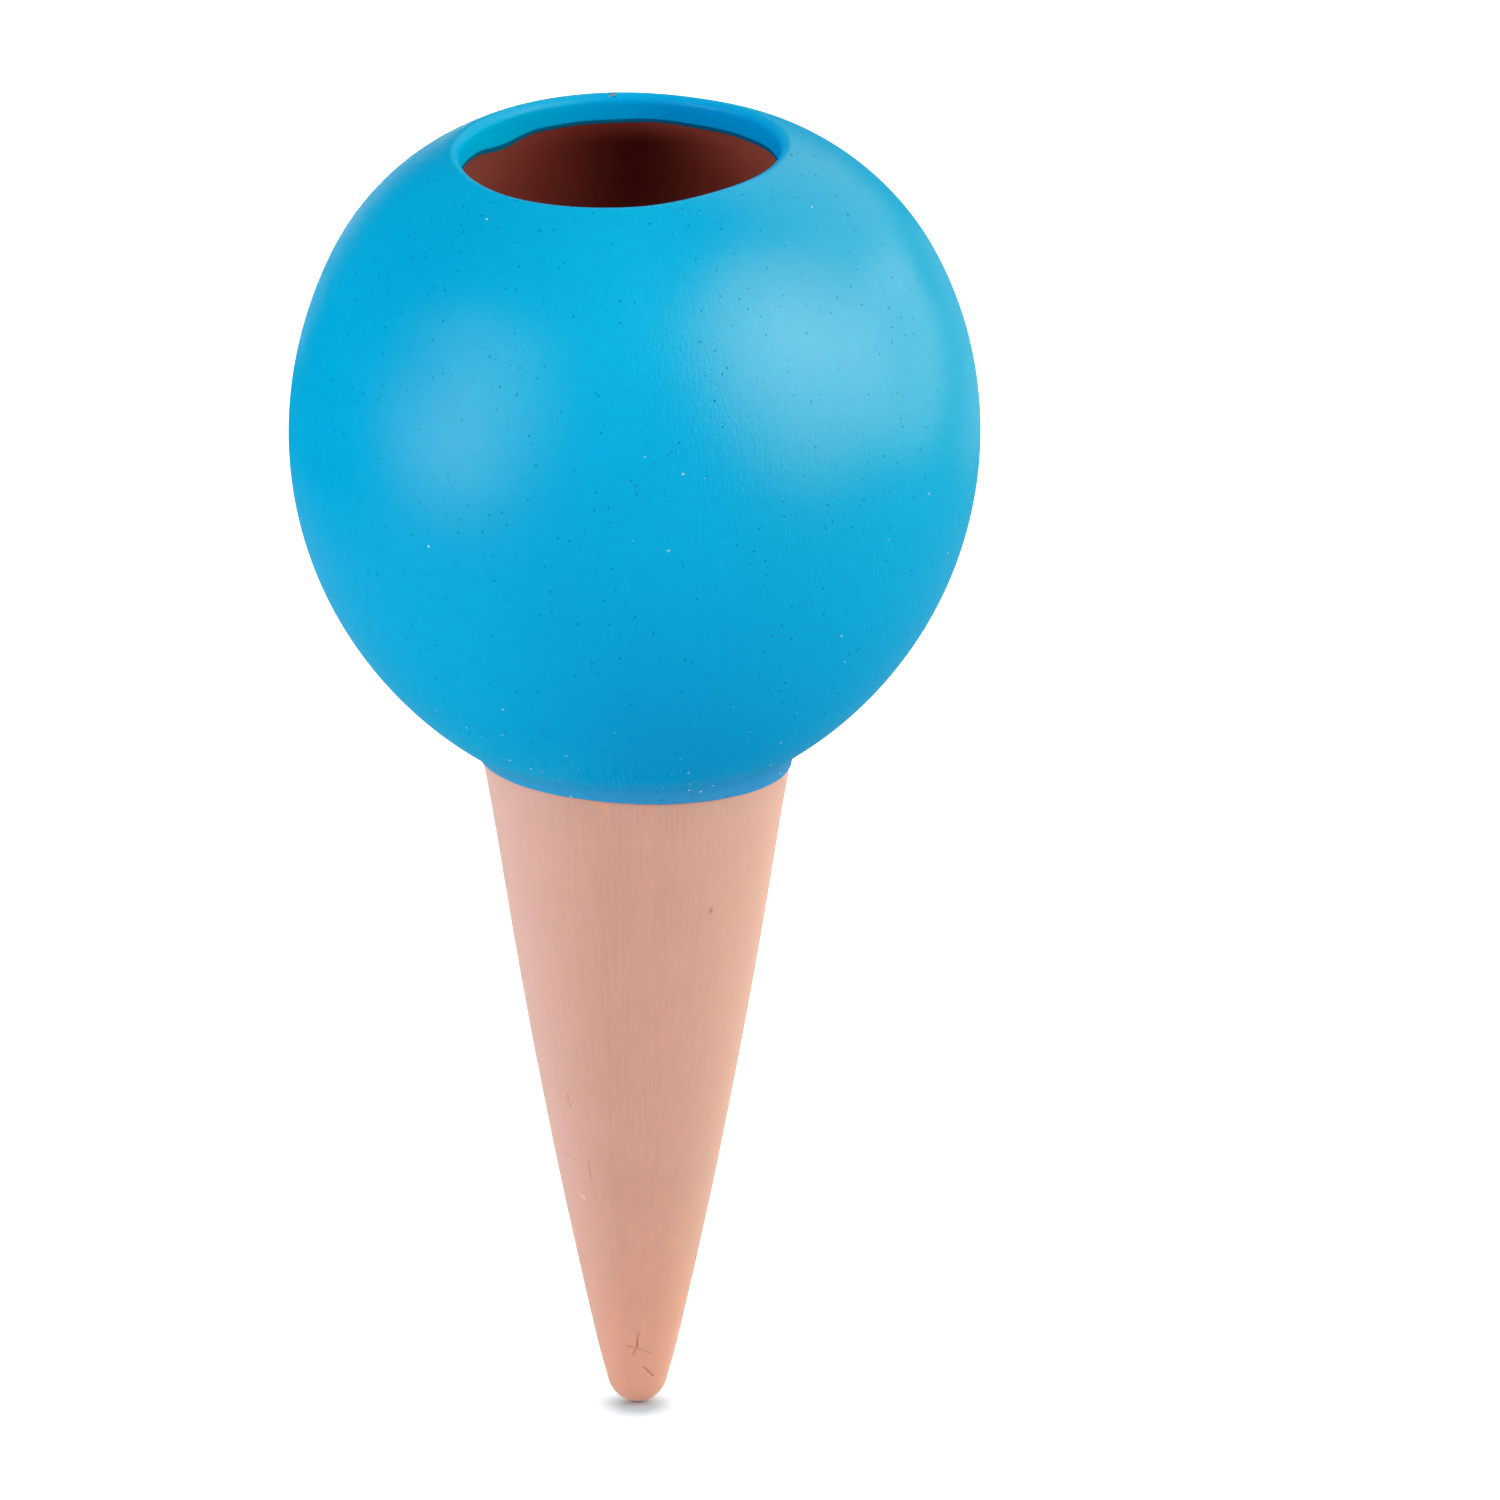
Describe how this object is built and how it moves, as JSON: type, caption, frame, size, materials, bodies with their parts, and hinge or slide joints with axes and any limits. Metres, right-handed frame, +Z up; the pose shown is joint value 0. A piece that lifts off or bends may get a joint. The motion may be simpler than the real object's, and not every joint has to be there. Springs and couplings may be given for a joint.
{
  "type": "self watering spike",
  "caption": "Hollow terracotta cone that is pushed into soil, under a round painted clay reservoir with an open mouth; water seeps out through the bare clay.",
  "frame": {"origin": "centre of the neck, at the soil line where the globe meets the spike", "axes": "+Z up along the axis of globe and spike, towards the mouth; +X to the right and +Y away from the viewer as the picture shows the object"},
  "size_m": [0.095, 0.095, 0.1829],
  "materials": {
    "terracotta": "bare fired clay, matt and porous",
    "clay_slip": "bare fired slip, matt",
    "blue_paint": "satin paint film with pinholes"
  },
  "bodies": {
    "root": {"reservoir_globe": "terracotta", "slip_joint": "clay_slip", "watering_spike": "terracotta", "paint_coat": "blue_paint"}
  },
  "joints": []
}
